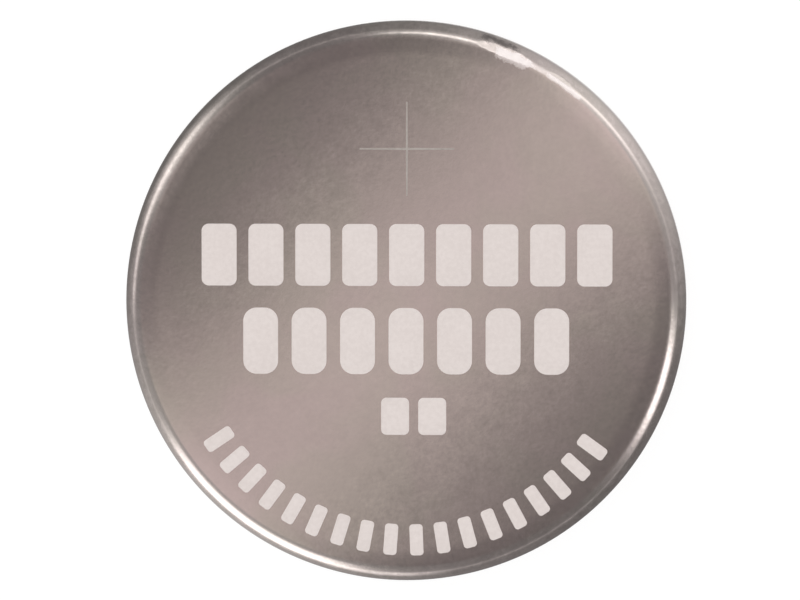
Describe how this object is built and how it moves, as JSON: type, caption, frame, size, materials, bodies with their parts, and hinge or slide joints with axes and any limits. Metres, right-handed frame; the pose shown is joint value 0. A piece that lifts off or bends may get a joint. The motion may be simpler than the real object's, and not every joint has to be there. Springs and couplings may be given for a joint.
{
  "type": "lithium coin cell",
  "caption": "Flat round lithium coin cell: a steel can with a softly rounded positive face, curled over a dark plastic seal that holds a stepped negative cap.",
  "frame": {"origin": "centre of the negative contact's flat face, which is the lowest face of the cell", "axes": "+Z along the cell's axis out of the positive face; +X and +Y lie in the contact face, +X to the right and +Y up as the picture shows the positive face"},
  "size_m": [0.0125, 0.0124, 0.0016],
  "materials": {
    "can_steel": "satin warm grey nickel-plated steel with a very fine grain and a small bright worn spot on the corner",
    "cap_steel": "satin nickel-plated steel, slightly paler than the can",
    "seal_plastic": "dark moulded polypropylene, satin",
    "tablet_powder": "matt black pressed powder with a fine grain",
    "ring_steel": "bright stamped stainless sheet",
    "separator_fleece": "matt white non-woven fleece",
    "lithium_metal": "dull soft silvery metal",
    "print_ink": "thin satin print in warm white on the positive face"
  },
  "bodies": {
    "root": {"cathode_can": "can_steel", "anode_cap": "cap_steel", "gasket": "seal_plastic", "cathode_pellet": "tablet_powder", "cathode_ring": "ring_steel", "separator": "separator_fleece", "lithium_anode": "lithium_metal"}
  },
  "joints": []
}
